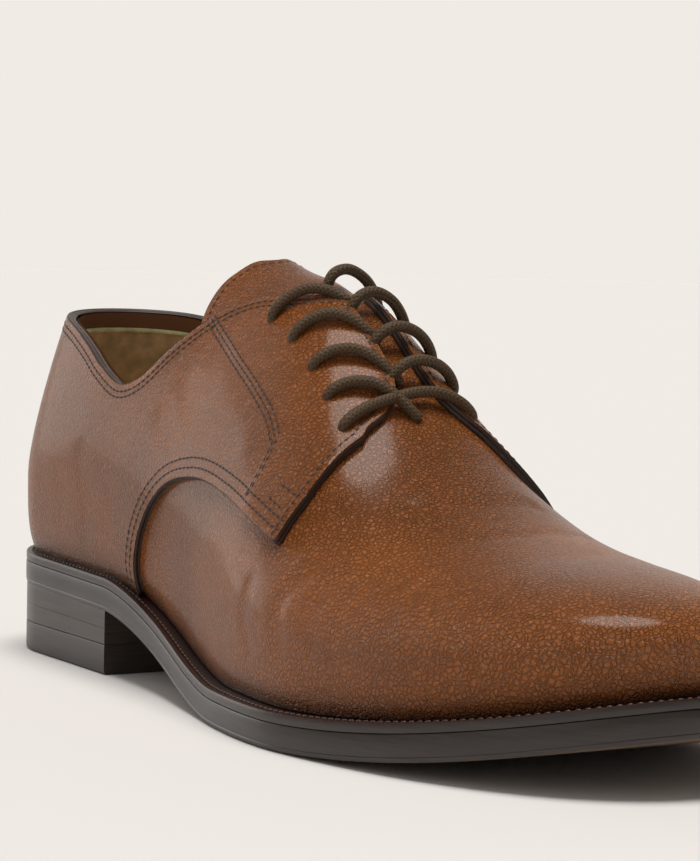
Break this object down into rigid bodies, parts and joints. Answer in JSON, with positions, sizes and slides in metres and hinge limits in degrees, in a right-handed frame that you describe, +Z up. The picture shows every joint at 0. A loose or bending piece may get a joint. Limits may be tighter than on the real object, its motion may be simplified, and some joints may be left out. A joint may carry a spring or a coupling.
{
  "type": "lace-up shoe",
  "caption": "Plain-toe leather derby shoe for the right foot, with open lacing over a tongue, a welted leather sole and a stacked heel.",
  "frame": {"origin": "middle of the sole's outline on the floor", "axes": "+X from heel to toe, +Y to the inner side of the foot, +Z up"},
  "size_m": [0.3, 0.1058, 0.1197],
  "materials": {
    "upper_leather": "warm brown pebble grain, semi-gloss, burnished darker near the welt",
    "lining_cloth": "khaki napped cloth lining",
    "insole_leather": "matte tan",
    "welt_leather": "dark red-brown, satin",
    "sole_edge": "dark grey-brown, waxed satin edge",
    "heel_rubber": "dark grey-brown, satin",
    "lace_cord": "waxed round cord, dark olive brown",
    "thread": "dark brown sewing thread"
  },
  "bodies": {
    "root": {"outsole": "sole_edge", "welt": "welt_leather", "heel_stack": "sole_edge", "heel_top_lift": "heel_rubber", "insole": "insole_leather", "upper": "upper_leather", "tongue": "upper_leather", "lace_cross_1": "lace_cord", "lace_cross_2": "lace_cord", "lace_cross_3": "lace_cord", "lace_cross_4": "lace_cord", "lace_bar": "lace_cord"}
  },
  "joints": []
}
